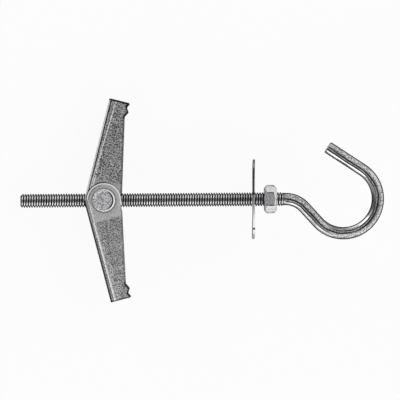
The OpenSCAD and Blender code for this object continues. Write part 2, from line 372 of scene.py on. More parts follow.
def stamped_wing(wing):
    """The folded wing with a sheared, slightly fallen edge round every flat, the strip round the ears flagged
    for a painted highlight.
    """
    along = WING_WAY[wing]
    bm = clean_copy(wing)
    cut = bm.faces.layers.float.new("cut")
    ear_highlight = bm.faces.layers.float.new("ear_highlight")
    flats = [f for f in bm.faces if abs(f.normal.z) > FLAT_COS]
    rims = [e for e in bm.edges if sum(f in flats for f in e.link_faces) == 1]
    for e in rims:
        split_edge(e, round(e.calc_length() / CUT_STEP))
    border = bmesh.ops.inset_region(bm, faces=flats, thickness=CUT_EDGE, depth=0, use_boundary=True,
                                    use_even_offset=False)["faces"]
    inner = {v for f in flats for v in f.verts}
    falls = {}
    for f in border:
        side = 1 if f.normal.z > 0 else -1
        middle = f.calc_center_median()
        away = middle.xy.length
        edge_cut = 1.0 if middle.dot(along) > TEETH_FROM else FREE_CUT[wing]
        for e in f.edges:
            if any(v in inner for v in e.verts) or len(e.link_faces) != 2:
                continue
            if e.calc_face_angle(0) > radians(RIM_DEG):
                falls.update({v: side for v in e.verts})
                # The ear's rim strip is flagged for a painted highlight
                f[ear_highlight] = 1.0 if EAR_R - CUT_EDGE < away < EAR_R else 0.0
                f[cut] = 0.0 if away < EAR_R else edge_cut
    for v, side in falls.items():
        v.co.z -= side * CUT_FALL
    for f in bm.faces:
        zs = [v.co.z for v in f.verts]
        wall = abs(f.normal.z) < WALL_COS and max(zs) - min(zs) < SHEET_T
        past_ear = f.calc_center_median().xy.length > EAR_R + EAR_CLEAR
        if (wall and past_ear) or abs(f.normal.dot(along)) > CUT_END_COS:
            f[cut] = WALL_CUT
    return close_up(f"stamped_{wing}", bm)


# The barrel's upset ends, from the edge inwards: width of each step and how far it rises
RIVET_STEPS = [(0.27, 0.0), (0.12, -0.12), (0.5, 0.05), (0.8, 0.03)]
# Rounding of their edges, the angle from which it starts, and depth of what counts as the head
RIVET_EDGE = 0.06
RIVET_DEG = 24
HEAD_H = 0.25


def riveted_barrel():
    """The pivot barrel with its ends upset: a rolled rim round a shallow dish."""
    bm = clean_copy("pivot_barrel")
    top = max(v.co.z for v in bm.verts)
    flats = [f for f in bm.faces if abs(f.normal.z) > FLAT_COS]
    ends = [f for f in flats if abs(abs(f.calc_center_median().z) - top) < SAME_CAD]
    for width, rise in RIVET_STEPS:
        bmesh.ops.inset_region(bm, faces=ends, thickness=width, depth=rise)
    joints = [e for e in bm.edges if len(e.link_faces) == 2]
    sharp = [e for e in joints if e.calc_face_angle(0) > radians(RIVET_DEG)]
    bmesh.ops.bevel(bm, geom=sharp, offset=RIVET_EDGE, segments=2, profile=0.5, affect="EDGES",
                    clamp_overlap=True)
    head = bm.faces.layers.float.new("head")
    for f in bm.faces:
        f[head] = 1.0 if abs(f.calc_center_median().z) > top - HEAD_H else 0.0
    return close_up("riveted_barrel", bm)


# Nut and washer

# Nut: its round faces as a share of the flats, slope of the chamfers, play on the thread and countersink
NUT_FACE = 0.88
NUT_CHAMFER = 1.35
NUT_PLAY = 0.07
NUT_SINK = 0.3
# How softly the corners and the edges of the chamfers are rounded over
NUT_CORNER = 0.05
NUT_EDGE = 0.13
NUT_AROUND = 144
NUT_STEPS = 22
# A flat counts for the outline up to this cosine of the angle to its middle
FLAT_REACH = 0.3


def soft_min(values, k):
    """The least of some lengths, with the corner between them rounded over."""
    low = min(values)
    return low - k * log(sum(exp((low - v) / k) for v in values))


def lock_nut():
    """Hexagon nut with soft corners and faces chamfered to a round."""
    flat = NUT_HIGH.z
    half = (NUT_HIGH.x - NUT_LOW.x) / 2
    face_r = NUT_FACE * flat
    bore_r = THREAD_R + NUT_PLAY
    flat_ways = [pi / 2 + pi / 3 * n for n in range(6)]

    def outline(x, a):
        sides = [flat / cos(a - way) for way in flat_ways if cos(a - way) > FLAT_REACH]
        chamfer = face_r + NUT_CHAMFER * (half - abs(x))
        return soft_min([soft_min(sides, NUT_CORNER), chamfer], NUT_EDGE)

    face = [(-half + NUT_SINK, bore_r), (-half, bore_r + NUT_SINK), (-half, face_r)]
    flats = [(-half * cos(pi * i / NUT_STEPS), None) for i in range(1, NUT_STEPS)]
    far_face = [(-x, r) for x, r in reversed(face)]
    rows = []
    for x, r in face + flats + far_face + face[:1]:
        rows.append([around_rod(NUT_LOW.x + half + x, outline(x, a) if r is None else r, a)
                     for a in angles(NUT_AROUND)])
    return mesh_object("lock_nut", ring_mesh(rows, NUT_STEPS))


# Washer: play on the thread, and its rolled edge and its broken edges as shares of its thickness
WASHER_PLAY = 0.35
WASHER_ROLL = 0.3
WASHER_BREAK = 0.12
# How far its rim leans, waves and is turned over, in millimetres, and how the waves lie round it
WASHER_LEAN = 0.11
WASHER_WAVE = 0.09
WASHER_TURNED = 0.17
WAVES = 3
WAVE_START = 0.6
WASHER_AROUND = 120
WASHER_STEPS = 8
ROLL_STEPS = 6


def wide_washer():
    """Thin stamped disc, a little wavy and leaning on the rod, with one edge rolled over by the punch."""
    low, high = span("washer")
    thick = high.x - low.x
    outer = high.y
    inner = THREAD_R + WASHER_PLAY
    roll = WASHER_ROLL * thick
    edge = WASHER_BREAK * thick
    reach = outer - roll - inner - edge
    flat_r = [inner + edge + reach * i / WASHER_STEPS for i in range(WASHER_STEPS + 1)]
    profile = [(r, 0.0) for r in flat_r]
    for i in range(1, ROLL_STEPS + 1):
        a = pi / 2 * i / ROLL_STEPS
        profile.append((outer - roll * (1 - sin(a)), roll * (1 - cos(a))))
    profile += [(outer, thick - edge), (outer - edge, thick)]
    profile += [(r, thick) for r in reversed(flat_r[:-1])]
    profile += [(inner, thick - edge), (inner, edge)]
    rows = []
    for r, x in profile + profile[:1]:
        share = (r - inner) / (outer - inner)
        row = []
        for a in angles(WASHER_AROUND):
            shift = share * WASHER_LEAN * cos(a) + share ** 2 * WASHER_WAVE * sin(WAVES * a + WAVE_START)
            shift -= share * WASHER_TURNED * sin(a) * (1 + cos(a)) / 2
            row.append(around_rod(low.x + x + shift, r, a))
        rows.append(row)
    bm = ring_mesh(rows, len(rows))
    cut = bm.faces.layers.float.new("cut")
    for f in bm.faces:
        f[cut] = 1.0 if f.calc_center_median().yz.length > outer - roll else 0.0
    return mesh_object("wide_washer", bm)


# Spring

# As it is wound on the barrel: radius of its wire and of its coils, their heights, and where the legs end
SPRING_R = 0.275
COIL_R = 3.155
COIL_Z0 = 2.275
COIL_Z1 = 3.415
COIL_TURNS = 2
BRIDGE_AT = Vector((-1.337, 11.700))
FREE_AT = Vector((-1.0425, 11.6245))
# The legs follow the coil by this angle, a little thinner than its wire, so that they turn inside it
LEG_FOLLOW = radians(82)
LEG_R = SPRING_R - 0.012
BRIDGE_BEND = 2 * SPRING_R
COIL_STEPS = 120
LEG_STEPS = 24
BEND_STEPS = 8
SPRING_SIDES = 14


def leave_angle(p):
    """Where a straight leg to p leaves the coil, going round against the clock."""
    return atan2(p.y, p.x) + acos(COIL_R / p.length)


BRIDGE_A = leave_angle(BRIDGE_AT)
FREE_A = 2 * pi * (COIL_TURNS + 1) - leave_angle(FREE_AT)


def tube(stations, radius):
    """Wire of one radius through stations of a point and two directions across it, closed at both ends."""
    bm, verts = sweep([(p, u, w, radius) for p, u, w in stations], SPRING_SIDES)
    cap(bm, verts[0], stations[0][0])
    cap(bm, verts[-1], stations[-1][0])
    return bm


def on_coil(a, z):
    """Station of the wire at an angle round the barrel and a height."""
    return Vector((COIL_R * cos(a), COIL_R * sin(a), z)), Vector((cos(a), sin(a), 0)), UP


def follow_coil(end_a, turn, z):
    """Wire that follows the coil through an angle up to where its leg leaves it."""
    return [on_coil(end_a + turn * (1 - i / LEG_STEPS), z) for i in range(LEG_STEPS + 1)]


def spring_coils():
    """The two coils on the barrel, each climbing evenly from its free leg to the bridge."""
    parts = []
    for side in (1, -1):
        stations = []
        for i in range(COIL_STEPS + 1):
            share = i / COIL_STEPS
            z = COIL_Z1 + (COIL_Z0 - COIL_Z1) * share
            stations.append(on_coil(FREE_A + (BRIDGE_A - FREE_A) * share, side * z))
        parts.append(tube(stations, SPRING_R))
    return mesh_object("spring_coils", join(parts))


def bridge_legs():
    """Both legs on wing a and the bridge between them, with the wire that follows them round the barrel."""
    way = Vector((sin(BRIDGE_A), -cos(BRIDGE_A), 0))
    aside = Vector((cos(BRIDGE_A), sin(BRIDGE_A), 0))
    half = follow_coil(BRIDGE_A, LEG_FOLLOW, COIL_Z0)
    corner = Vector((BRIDGE_AT.x, BRIDGE_AT.y, COIL_Z0))
    for i in range(BEND_STEPS + 1):
        a = pi / 2 * i / BEND_STEPS
        p = corner + BRIDGE_BEND * ((sin(a) - 1) * way + (cos(a) - 1) * UP)
        half.append((p, aside, cos(a) * UP + sin(a) * way))
    flip = Matrix.Diagonal((1, 1, -1))
    other = [(flip @ p, u, flip @ w) for p, u, w in reversed(half)]
    return mesh_object("spring_bridge", tube(half + other, LEG_R))


def free_legs():
    """The two free ends on wing b, with the wire that follows them round the barrel."""
    parts = []
    for side in (1, -1):
        z = side * COIL_Z1
        stations = follow_coil(FREE_A, -LEG_FOLLOW, z)
        _, aside, _ = stations[-1]
        stations.append((Vector((FREE_AT.x, -FREE_AT.y, z)), aside, UP))
        parts.append(tube(stations, LEG_R))
    return mesh_object("spring_ends", join(parts))


# Shader helpers

BLACK = (0.0, 0.0, 0.0)
WHITE = (1.0, 1.0, 1.0)


def fill(tree, made, inputs):
    """Sets a node's inputs, given as values or as sockets to link from."""
    for key, value in inputs.items():
        if isinstance(value, bpy.types.NodeSocket):
            tree.links.new(value, made.inputs[key])
        else:
            made.inputs[key].default_value = value


def node(tree, kind, inputs=None, **settings):
    """A shader node with its settings and its inputs."""
    made = tree.nodes.new(kind)
    for key, value in settings.items():
        setattr(made, key, value)
    fill(tree, made, inputs or {})
    return made


def ramp(tree, fac, stops):
    """A colour ramp of greys or colours over places from 0 to 1."""
    made = node(tree, "ShaderNodeValToRGB", {"Fac": fac})
    elements = made.color_ramp.elements
    while len(elements) < len(stops):
        elements.new(0.5)
    for element, (place, colour) in zip(elements, stops):
        element.position = place
        if isinstance(colour, (int, float)):
            colour = (colour, colour, colour)
        element.color = (*colour, 1)
    return made.outputs["Color"]


def scaled(stops, full, start=0.0):
    """Stops of a ramp that are given in millimetres, as shares of a full length."""
    return [((place - start) / full, value) for place, value in stops]


def mix(tree, fac, a, b, blend="MIX"):
    """Two colours mixed."""
    a, b = [(*colour, 1) if isinstance(colour, tuple) else colour for colour in (a, b)]
    return node(tree, "ShaderNodeMix", {0: fac, 6: a, 7: b}, data_type="RGBA", blend_type=blend).outputs[2]


def times(tree, a, b, share=1.0):
    """One colour darkened by another."""
    return mix(tree, share, a, b, "MULTIPLY")


def maths(tree, operation, *values):
    """The result of a sum with values or sockets."""
    return node(tree, "ShaderNodeMath", dict(enumerate(values)), operation=operation).outputs[0]


def ease(tree, value, start, end, low=0.0, high=1.0):
    """Runs from low to high as a value runs from start to end, and stays there beyond."""
    inputs = {"Value": value, "From Min": start, "From Max": end, "To Min": low, "To Max": high}
    return node(tree, "ShaderNodeMapRange", inputs).outputs[0]


def noise(tree, vector, scale, detail, rough, distortion=0.0):
    """Soft noise from 0 to 1."""
    inputs = {"Vector": vector, "Scale": scale, "Detail": detail, "Roughness": rough}
    return node(tree, "ShaderNodeTexNoise", {**inputs, "Distortion": distortion}).outputs["Fac"]


def bump(tree, height, strength, distance_mm, normal=None):
    """A surface roughened by a height, on top of another roughening where one is given."""
    inputs = {"Height": height, "Strength": strength, "Distance": distance_mm * MM}
    if normal is not None:
        inputs["Normal"] = normal
    return node(tree, "ShaderNodeBump", inputs).outputs["Normal"]


def painted(tree, name):
    """A layer that the mesh carries."""
    return node(tree, "ShaderNodeAttribute", attribute_name=name).outputs["Fac"]


def place_of(tree):
    """The point of the surface in the row frame."""
    return node(tree, "ShaderNodeTexCoord").outputs["Object"]


def unrolled_wire(tree):
    """Place along and round a wire or the thread, in millimetres."""
    return node(tree, "ShaderNodeUVMap", uv_map="along").outputs["UV"]


def stretched(tree, vector, scale):
    """A place stretched along its axes."""
    return node(tree, "ShaderNodeMapping", {"Vector": vector, "Scale": scale}).outputs["Vector"]


def dot(tree, vector, way):
    """How far a vector reaches along a direction."""
    inputs = {0: vector, 1: way}
    return node(tree, "ShaderNodeVectorMath", inputs, operation="DOT_PRODUCT").outputs["Value"]


def along_axis(tree, way):
    """How far the surface lies from the pivot along a direction on the anchor's axes, in millimetres."""
    inputs = {0: place_of(tree), 1: PIVOT}
    from_pivot = node(tree, "ShaderNodeVectorMath", inputs, operation="SUBTRACT").outputs[0]
    return dot(tree, from_pivot, TURN.to_3x3() @ way / MM)


RING_SPAN = 8.0


def from_middle(tree, x, y):
    """Distance from the middle of a ring, as a share of RING_SPAN."""
    both = node(tree, "ShaderNodeCombineXYZ", {0: x, 1: y}).outputs[0]
    away = node(tree, "ShaderNodeVectorMath", {0: both}, operation="LENGTH").outputs["Value"]
    return maths(tree, "DIVIDE", away, RING_SPAN)


def round_level(tree, uv, radius):
    """Place across the wire: -1 outside the hook's round, 0 above and below, 1 inside the round."""
    around = node(tree, "ShaderNodeSeparateXYZ", {0: uv}).outputs["Y"]
    return maths(tree, "COSINE", maths(tree, "DIVIDE", around, radius))


# Zinc that has dulled reflects less where it is seen at a flat angle
EDGE_TINT = (0.12, 0.12, 0.13, 1)
CREST_TINT = (0.02, 0.02, 0.02, 1)


def plain_material(name):
    """A new material, its tree and its shader."""
    material = bpy.data.materials.new(name)
    material.use_nodes = True
    return material, material.node_tree, material.node_tree.nodes["Principled BSDF"]


def metal(name):
    """A plain metal material, its tree and its shader."""
    material, tree, shader = plain_material(name)
    shader.inputs["Metallic"].default_value = 1.0
    shader.inputs["Specular Tint"].default_value = EDGE_TINT
    return material, tree, shader


# Wire and thread

# Grain of the drawn wire: marks, slow waves and drift, as stretches along the wire and round it
DRAWN_MARKS = (0.05, 0.75, 1.0)
DRAWN_WAVES = (0.12, 0.45, 1.0)
DRAWN_DRIFT = (0.16, 0.0, 1.0)
# The lines and bands wander across the wire by their drift
WANDER = (0.38, 0.62)
# Across the wire, from one side to the other: dark lines, partly die lines and partly painted shade in the
# reflection, and a pale matt band of painted sheen
DIE_AND_SHADE_LINES = [(0.42, 1.0), (0.46, 0.05), (0.525, 0.05), (0.565, 0.85),
             (0.63, 0.85), (0.665, 0.06), (0.72, 0.06), (0.76, 1.0)]
SHEEN_BAND = [(0.08, 0.0), (0.14, 1.0), (0.38, 1.0), (0.46, 0.0),
             (0.55, 0.0), (0.58, 0.8), (0.62, 0.8), (0.66, 0.0)]
# Between these lengths of wire, in millimetres from the neck, the painted lines and band pass to the wire's
# other side, so that they keep facing about the same way as the wire bends round
TURN_FROM = 12.5
TURN_TO = 17.5
# The dark lines come and go, but show in full on the neck, up to the first of these lengths
LINES_SHOWN = [(0.32, 0.35), (0.50, 1.0)]
NECK_LINES = (6.0, 9.0)
# Painted shade along the wire's two sides, where its outline is
SIDE_SHADE = [(0.75, 0.0), (0.86, 1.0), (0.955, 1.0), (0.985, 0.1)]
# Painted shade on the bowl's inside: across the wire, and along it in millimetres
BOWL_SHADE = [(0.70, 0.0), (0.76, 0.75)]
BOWL_SHADE_RUN = [(23.0, 0.0), (26.0, 1.0), (33.0, 1.0), (37.0, 0.0)]
# A strip beside it that what hung there polished
POLISH = [(0.76, 0.0), (0.79, 1.0), (0.90, 1.0), (0.93, 0.0)]
POLISH_RUN = [(19.8, 0.0), (21.4, 1.0), (27.4, 1.0), (28.8, 0.0)]
WIRE_RUN = 60.0
# Tones of the bright wire, of the band of painted sheen and of the places named above, painted shade among
# them
DRAWN_TONES = [(0.36, (0.30, 0.30, 0.31)), (0.50, (0.74, 0.745, 0.76)), (0.62, (0.94, 0.945, 0.95))]
DRAWN_GRAIN = [(0.38, 0.45), (0.62, 1.0)]
SHEEN_TONES = [(0.38, (0.13, 0.13, 0.14)), (0.50, (0.58, 0.58, 0.59)), (0.61, (0.88, 0.88, 0.89))]
SHEEN_MARKS = [(0.40, 0.30), (0.50, 1.0)]
BOWL_SHADE_TONE = (0.09, 0.09, 0.10)
SIDE_SHADE_TONE = (0.06, 0.06, 0.065)
POLISHED_TONE = (0.97, 0.97, 0.98)
SHEARED_TONES = [(0.35, 0.20), (0.65, 0.60)]
# Roughness of the wire, the band of painted sheen and the polished strip, and how metallic the band is
DRAWN_ROUGH = [(0.3, 0.16), (0.7, 0.28)]
SHEEN_ROUGH = (0.42, 0.42, 0.42)
POLISHED_ROUGH = (0.16, 0.16, 0.16)
SHEEN_METAL = [(0.0, 1.0), (1.0, 0.35)]


def wire_zinc():
    """Bright zinc on drawn wire, with dark lines partly of painted shade, a band of painted sheen, and
    painted shade on its sides and inside the bowl.
    """
    material, tree, shader = metal("bright_zinc_wire")
    uv = unrolled_wire(tree)
    slow = stretched(tree, uv, DRAWN_WAVES)
    marks = noise(tree, stretched(tree, uv, DRAWN_MARKS), scale=1.6, detail=4.0, rough=0.6)
    waves = noise(tree, slow, scale=1.0, detail=2.0, rough=0.5)
    fade = noise(tree, slow, scale=1.7, detail=1.0, rough=0.5)
    drift = noise(tree, stretched(tree, uv, DRAWN_DRIFT), scale=1.0, detail=2.0, rough=0.5)
    grain = noise(tree, uv, scale=2.4, detail=2.0, rough=0.6)
    level = round_level(tree, uv, WIRE_R)
    run = node(tree, "ShaderNodeSeparateXYZ", {0: uv}).outputs["X"]
    run_share = maths(tree, "DIVIDE", run, WIRE_RUN)

    later = ease(tree, run, TURN_FROM, TURN_TO)
    wander = ease(tree, drift, 0.0, 1.0, *WANDER)
    out_in = maths(tree, "MULTIPLY_ADD", level, 0.5, wander)
    in_out = maths(tree, "MULTIPLY_ADD", level, -0.5, wander)
    # Dark lines partly of painted shade, and the band of painted sheen, passed to the wire's other side
    # between TURN_FROM and TURN_TO
    lines, sheen_band = [mix(tree, later, ramp(tree, in_out, stops), ramp(tree, out_in, stops))
                   for stops in (DIE_AND_SHADE_LINES, SHEEN_BAND)]
    neck = ease(tree, run, NECK_LINES[1], NECK_LINES[0])
    shown = maths(tree, "MAXIMUM", ramp(tree, fade, LINES_SHOWN), neck)
    lines = mix(tree, shown, WHITE, lines)
    # Where the bowl's inside gets painted shade
    shade_patch = times(tree, ramp(tree, out_in, BOWL_SHADE), ramp(tree, run_share, scaled(BOWL_SHADE_RUN, WIRE_RUN)))
    across = maths(tree, "MULTIPLY_ADD", level, 0.5, 0.5)
    polished = times(tree, ramp(tree, across, POLISH), ramp(tree, run_share, scaled(POLISH_RUN, WIRE_RUN)))
    torn = noise(tree, place_of(tree), scale=2200.0, detail=3.0, rough=0.6)

    colour = ramp(tree, marks, DRAWN_TONES)
    colour = times(tree, colour, ramp(tree, grain, DRAWN_GRAIN), share=0.6)
    # Pale mottled tones of the band of painted sheen
    sheen = ramp(tree, grain, SHEEN_TONES)
    sheen = times(tree, sheen, ramp(tree, marks, SHEEN_MARKS), share=0.75)
    colour = mix(tree, sheen_band, colour, sheen)
    colour = times(tree, colour, lines)
    # Painted shade on the bowl's inside
    colour = mix(tree, shade_patch, colour, BOWL_SHADE_TONE)
    # Painted shade along the wire's sides
    colour = mix(tree, ramp(tree, maths(tree, "ABSOLUTE", level), SIDE_SHADE), colour, SIDE_SHADE_TONE)
    colour = mix(tree, polished, colour, POLISHED_TONE)
    colour = mix(tree, painted(tree, "sheared"), colour, ramp(tree, torn, SHEARED_TONES))
    rough = mix(tree, sheen_band, ramp(tree, grain, DRAWN_ROUGH), SHEEN_ROUGH)
    rough = mix(tree, polished, rough, POLISHED_ROUGH)
    metallic = mix(tree, polished, ramp(tree, sheen_band, SHEEN_METAL), WHITE)
    normal = bump(tree, waves, strength=0.9, distance_mm=0.25)
    normal = bump(tree, marks, strength=0.6, distance_mm=0.05, normal=normal)
    fill(tree, shader, {"Base Color": colour, "Roughness": rough, "Metallic": metallic, "Normal": normal})
    return material


# Across the rod, from above and below to its sides: how much of the crests is painted bright, in two rows of
# painted highlight, with painted shade towards the sides and a painted light rim right at them
CREST_LIGHT_AND_SHADE = [(0.14, 0.36), (0.38, 1.0), (0.62, 1.0), (0.76, 0.06), (0.96, 0.06), (0.99, 0.7)]
# The painted highlight keeps to the top of the crests and is patchy along the rod
CREST_TOP = [(0.62, 0.0), (0.90, 1.0)]
CREST_PATCHES = [(0.35, 0.45), (0.65, 1.0)]
# Tones of the roots, painted dark as shade in the thread's hollows
ROOT_SHADE_TONES = [(0.35, (0.04, 0.04, 0.045)), (0.65, (0.12, 0.12, 0.13))]
CREST_TONE = (0.95, 0.95, 0.96)
CREST_METAL = [(0.0, 1.0), (1.0, 0.45)]
THREAD_ROUGH = [(0.3, 0.22), (0.7, 0.4)]


def thread_zinc():
    """Zinc on the rolled thread: painted highlights on the crests in rows along the rod, painted shade at its
    sides and in its dark roots.
    """
    material, tree, shader = metal("bright_zinc_thread")
    shader.inputs["Specular Tint"].default_value = CREST_TINT
    uv = unrolled_wire(tree)
    patches = noise(tree, uv, scale=0.35, detail=2.0, rough=0.5)
    grain = noise(tree, uv, scale=4.0, detail=3.0, rough=0.6)
    # Painted highlights in rows on the crests, painted shade at the rod's sides
    shine = ramp(tree, maths(tree, "ABSOLUTE", round_level(tree, uv, THREAD_R)), CREST_LIGHT_AND_SHADE)
    shine = times(tree, shine, ramp(tree, painted(tree, "crest"), CREST_TOP))
    shine = times(tree, shine, ramp(tree, patches, CREST_PATCHES), share=0.5)
    colour = mix(tree, shine, ramp(tree, grain, ROOT_SHADE_TONES), CREST_TONE)
    fill(tree, shader, {"Base Color": colour, "Metallic": ramp(tree, shine, CREST_METAL),
                        "Roughness": ramp(tree, grain, THREAD_ROUGH),
                        "Normal": bump(tree, grain, strength=0.35, distance_mm=0.05)})
    return material


# Spring wire: stretch of its drawn marks, tones and roughness
SPRING_MARKS = (0.4, 6.0, 1.0)
SPRING_TONES = [(0.3, (0.16, 0.165, 0.175)), (0.7, (0.40, 0.40, 0.41))]
SPRING_ROUGH = [(0.3, 0.25), (0.7, 0.42)]


def spring_wire():
    """Dark drawn spring wire."""
    material, tree, shader = metal("spring_steel_wire")
    drawn = stretched(tree, unrolled_wire(tree), SPRING_MARKS)
    marks = noise(tree, drawn, scale=1.5, detail=3.0, rough=0.6)
    fill(tree, shader, {"Base Color": ramp(tree, marks, SPRING_TONES),
                        "Roughness": ramp(tree, marks, SPRING_ROUGH),
                        "Normal": bump(tree, marks, strength=0.3, distance_mm=0.03)})
    return material


# Plated sheet, nut, washer and rivet

# Mottled plate: where dark and light grain start, their blue cast, and the slower shade over them
GRAIN_ENDS = (0.39, 0.60)
DARK_BLUE = 1.03
LIGHT_BLUE = 1.02
BROAD_SHARE = 0.07
BROAD_TONES = [(0.35, 0.6), (0.65, 1.0)]
ROUGH_PLAY = 0.08


def mottled(name, dark, light, rough, grain_mm, bump_mm):
    """Zinc plate with a fine mottled grain of about grain_mm. Returns what a finer material adds to."""
    material, tree, shader = metal(name)
    place = place_of(tree)
    per_m = 1 / (grain_mm * MM)
    grain = noise(tree, place, scale=per_m, detail=1.0, rough=0.5, distortion=0.4)
    broad = noise(tree, place, scale=BROAD_SHARE * per_m, detail=2.0, rough=0.5)
    tones = ((dark, dark, DARK_BLUE * dark), (light, light, LIGHT_BLUE * light))
    colour = ramp(tree, grain, list(zip(GRAIN_ENDS, tones)))
    colour = times(tree, colour, ramp(tree, broad, BROAD_TONES), share=0.2)
    roughness = ramp(tree, grain, [(0.3, rough - ROUGH_PLAY), (0.7, rough + ROUGH_PLAY)])
    fill(tree, shader, {"Base Color": colour, "Roughness": roughness,
                        "Normal": bump(tree, grain, strength=0.6, distance_mm=bump_mm)})
    return material, tree, shader, colour


# Each wing's sheet: dark and light of its grain, and its roughness. Wing a is painted darker than wing b, as
# painted shade
SHEET = {"wing_a": {"dark": 0.10, "light": 0.84, "rough": 0.36},
         "wing_b": {"dark": 0.24, "light": 0.88, "rough": 0.38}}
# Tone of each ear, how it varies, and where the ear ends, from the pivot. Wing a's ear, beside the front ear,
# is painted darker as painted shade
EAR_TONE = {"wing_a": 0.66, "wing_b": 0.79}
EAR_GRAIN = [(0.35, 0.82), (0.65, 1.12)]
EAR_ZONE = 5.35
EAR_BLUR = 0.25
# Distance of the wing's back from the pivot, and radius of its folds
BACK_D = 5.3
FOLD_R = 1.7
# The painted shade and highlights keep to the fold, and the coarse grain and the smooth ears to the wing's
# outside
FOLD_BLUR = 0.35
SKIN = (0.75, 0.50)
BACK_TONES = [(0.30, 0.30), (0.70, 0.64)]
# The painted highlights and glints spread apart towards the cut end, by this share for each millimetre from
# the wing's middle
FOLD_DRIFT = {"wing_a": 0.030, "wing_b": 0.016}
FOLD_MID = 17.0
# Across the fold, in millimetres from the wing's back: painted shade on the plate, painted highlights,
# the painted light rim that only the upper wing has, and painted glints as specks
FOLD_SHADE = {"wing_a": [(0.0, 1.0), (0.38, 1.0), (0.47, 0.08), (0.72, 0.08),
                         (0.84, 0.75), (1.05, 0.75), (1.20, 1.0)],
              "wing_b": [(0.0, 0.15), (0.40, 0.15), (0.55, 0.55), (0.75, 0.5),
                         (0.95, 0.42), (1.15, 0.9), (1.30, 1.0)]}
FOLD_HIGHLIGHT = {"wing_a": [(0.80, 0.0), (0.90, 0.10), (1.38, 0.10), (1.46, 1.0), (1.62, 1.0), (1.72, 0.0)],
              "wing_b": [(0.95, 0.0), (1.10, 0.8), (1.35, 0.8), (1.55, 0.3), (2.10, 0.0)]}
FOLD_RIM_HIGHLIGHT = {"wing_a": [(0.0, 0.65), (0.34, 0.65), (0.43, 0.0)]}
FOLD_SPECK = [(1.70, 0.0), (1.85, 0.8), (2.6, 0.4), (3.4, 0.0)]
FOLD_ACROSS = 3.5
# How the painted highlights break up, and where the painted glints show
FOLD_HIGHLIGHT_GRAIN = [(0.30, 0.35), (0.50, 1.0)]
SPECK_GRAIN = [(0.56, 0.0), (0.66, 1.0)]
# Length of each wing to its cut end, how far the shears dragged there, and the end's wall that stays clear
WING_END = 27.5
END_DRAG = {"wing_a": 0.50, "wing_b": 0.28}
DRAG_BLUR = 0.06
END_WALL = 0.03
# Painted shade rings on the ears, by distance from the pivot: round the riveted rim, on wing a a painted
# shadow of the front ear, and on wing b a painted shade line inside its own ear's rim
RIVET_SHADOW_RING = [(3.05, 0.40), (3.40, 0.40), (3.62, 0.0)]
SHADOW_RING = {"wing_a": [(4.64, 0.0), (4.72, 1.0), (4.92, 1.0), (5.10, 0.0)],
            "wing_b": [(3.90, 0.0), (4.05, 0.55), (4.22, 0.55), (4.34, 0.0)]}
# They are painted on the side of the wing's back, and on the lower wing only past the pivot
SHADOW_ENDS = (1.5, -1.5)
SHADOW_TOP = (0.5, -2.0)
# Tones of the painted highlights, the sheared edges, and the painted shadow rings with the dragged end,
# and how bright the painted highlight on the ear's rim is
HIGHLIGHT_TONE = (0.96, 0.96, 0.97)
CUT_TONE = (0.03, 0.03, 0.033)
SHADOW_AND_DRAG_TONE = (0.04, 0.04, 0.045)
EAR_HIGHLIGHT = 0.8
# How far the painted highlights and the ears turn from a mirror into a pale matt plate
HIGHLIGHT_MATT = 0.85
EAR_MATT = 0.25
MATT_TO_METAL = [(0.0, 1.0), (1.0, 0.0)]


def depth_masks(tree, wing):
    """By depth from the wing's outer faces: where its folds are and where its outer skin is."""
    low, high = span(wing)
    half = (high.z - low.z) / 2
    off_mid = maths(tree, "ABSOLUTE", maths(tree, "SUBTRACT", along_axis(tree, UP), high.z - half))
    fold = ease(tree, off_mid, half - FOLD_R, half - FOLD_R + FOLD_BLUR)
    skin = ease(tree, off_mid, half - SKIN[0], half - SKIN[1])
    return fold, skin


def painted_fold_light(tree, wing, along, across):
    """Painted light along the fold: painted shade on the plate, and painted highlights and glints."""
    place = place_of(tree)
    from_back = ease(tree, across, -BACK_D, FOLD_ACROSS - BACK_D)
    drift = FOLD_DRIFT[wing]
    spread = maths(tree, "MULTIPLY_ADD", along, drift, 1 - drift * FOLD_MID)
    spread = maths(tree, "DIVIDE", from_back, spread)
    shade = ramp(tree, from_back, scaled(FOLD_SHADE[wing], FOLD_ACROSS))
    fold_highlight = ramp(tree, spread, scaled(FOLD_HIGHLIGHT[wing], FOLD_ACROSS))
    if wing in FOLD_RIM_HIGHLIGHT:
        rim_light = ramp(tree, from_back, scaled(FOLD_RIM_HIGHLIGHT[wing], FOLD_ACROSS))
        fold_highlight = maths(tree, "MAXIMUM", fold_highlight, rim_light)
    highlight_breaks = noise(tree, place, scale=1300.0, detail=2.0, rough=0.6)
    fold_highlight = times(tree, fold_highlight, ramp(tree, highlight_breaks, FOLD_HIGHLIGHT_GRAIN))
    specks = noise(tree, place, scale=2400.0, detail=1.0, rough=0.5)
    specks = times(tree, ramp(tree, spread, scaled(FOLD_SPECK, FOLD_ACROSS)), ramp(tree, specks, SPECK_GRAIN))
    return shade, maths(tree, "MAXIMUM", fold_highlight, specks)


def ear_shadow_rings(tree, wing, along, across):
    """Painted shade rings on the ear: one round the riveted rim, a painted shadow of the front ear on wing a,
    a painted shade line on wing b.
    """
    away = from_middle(tree, along, across)
    shadow_and_drag = ramp(tree, away, scaled(SHADOW_RING[wing], RING_SPAN))
    shadow_and_drag = maths(tree, "MULTIPLY", shadow_and_drag, ease(tree, across, *SHADOW_ENDS))
    if wing == "wing_b":
        shadow_and_drag = maths(tree, "MULTIPLY", shadow_and_drag, ease(tree, along, *SHADOW_TOP))
    return maths(tree, "MAXIMUM", shadow_and_drag, ramp(tree, away, scaled(RIVET_SHADOW_RING, RING_SPAN)))


def dragged_end(tree, wing, along):
    """The strip before the cut end that the shears dragged dark."""
    start = WING_END - END_DRAG[wing]
    before_end = maths(tree, "LESS_THAN", along, WING_END - END_WALL)
    return maths(tree, "MULTIPLY", ease(tree, along, start - DRAG_BLUR, start), before_end)


